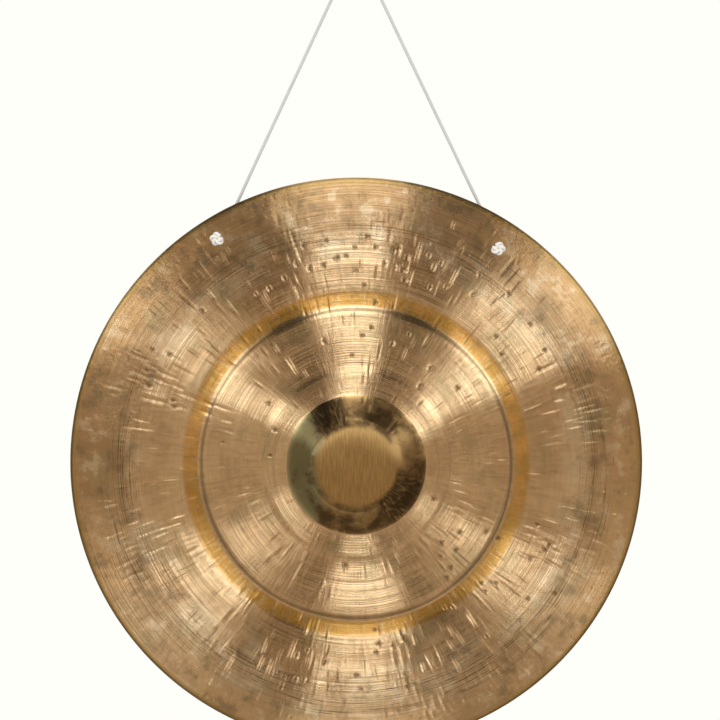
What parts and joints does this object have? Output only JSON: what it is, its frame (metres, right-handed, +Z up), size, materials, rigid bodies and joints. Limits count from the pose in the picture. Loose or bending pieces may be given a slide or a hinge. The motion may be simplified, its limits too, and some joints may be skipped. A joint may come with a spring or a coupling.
{
  "type": "bossed gong",
  "caption": "Round bronze gong with a raised boss, stepped ring and shallow turned rim, hung by a knotted white cord from a screw hook.",
  "frame": {"origin": "middle of the top face of the hook's collar, where the hook meets the beam or ceiling that it is screwed into", "axes": "+Z up along the hook's shank; the gong's face looks along -Y; +X to the right of a person facing the gong"},
  "size_m": [0.6, 0.0652, 0.9361],
  "materials": {
    "bronze": "hammered and lathed, satin",
    "cord": "braided, matt",
    "hook": "zinc plated"
  },
  "bodies": {
    "hook": {"hook": "hook"},
    "cord": {"hanging_cord": "cord"},
    "gong": {"gong_plate": "bronze", "left_cord_end": "cord", "right_cord_end": "cord", "left_knot": "cord", "right_knot": "cord"}
  },
  "joints": [
    {"name": "cord_swing", "type": "hinge", "parent": "hook", "child": "cord", "pos_m": [0, 0, -0.034], "axis": [1, 0, 0], "range_deg": [-30, 30]},
    {"name": "gong_tilt", "type": "hinge", "parent": "cord", "child": "gong", "pos_m": [0.002, 0, -0.305], "axis": [1, 0, -0.0078], "range_deg": [-15, 15]}
  ]
}
